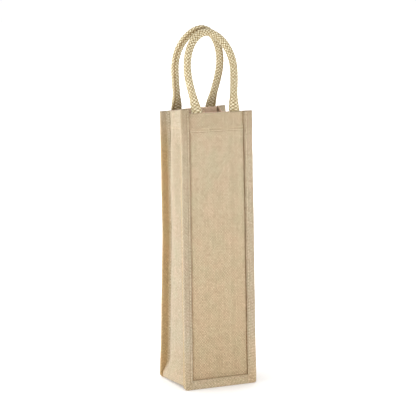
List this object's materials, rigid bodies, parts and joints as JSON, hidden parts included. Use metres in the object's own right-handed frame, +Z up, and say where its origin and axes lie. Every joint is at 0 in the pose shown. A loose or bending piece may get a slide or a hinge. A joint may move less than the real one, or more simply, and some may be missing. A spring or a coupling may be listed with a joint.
{
  "type": "wine bottle gift bag",
  "caption": "Tall, slim jute gift bag for one wine bottle, open at the top, with stitched raised borders and round webbing carrying loops that swing.",
  "frame": {"origin": "centre of the bag's footprint, on the plane that the bag stands on", "axes": "+X along the wide front from the left gusset to the right one, +Y from the front panel to the back panel, +Z up"},
  "size_m": [0.1, 0.0846, 0.457],
  "materials": {
    "jute_front": "natural jute, plain weave, matt",
    "jute_gusset": "natural jute, plain weave, matt",
    "jute_facing": "natural jute, plain weave, matt",
    "laminate_film": "thin clear film over jute, slight sheen",
    "webbing": "natural cotton, coarse weave",
    "rope_core": "laid cotton rope",
    "thread": "cotton thread"
  },
  "bodies": {
    "shell": {"front_panel": "jute_front", "back_panel": "jute_front", "gusset_left": "jute_gusset", "gusset_right": "jute_gusset", "gusset_base": "jute_gusset", "front_lining": "laminate_film", "back_lining": "laminate_film", "left_lining": "laminate_film", "right_lining": "laminate_film", "base_lining": "laminate_film", "front_hem_facing": "jute_facing", "back_hem_facing": "jute_facing", "left_hem_facing": "jute_facing", "right_hem_facing": "jute_facing", "front_handle_end_left": "webbing", "front_handle_end_right": "webbing", "back_handle_end_left": "webbing", "back_handle_end_right": "webbing", "front_border_stitching": "thread", "back_border_stitching": "thread", "hem_stitching": "thread"},
    "front_handle": {"front_handle_sleeve": "webbing", "front_handle_core": "rope_core", "front_handle_seam": "thread"},
    "back_handle": {"back_handle_sleeve": "webbing", "back_handle_core": "rope_core", "back_handle_seam": "thread"}
  },
  "joints": [
    {"name": "front_handle_swing", "type": "hinge", "parent": "shell", "child": "front_handle", "pos_m": [0, -0.042, 0.351], "axis": [1, 0, 0], "range_deg": [0, 175]},
    {"name": "back_handle_swing", "type": "hinge", "parent": "shell", "child": "back_handle", "pos_m": [0, 0.042, 0.351], "axis": [-1, 0, 0], "range_deg": [0, 175]}
  ]
}
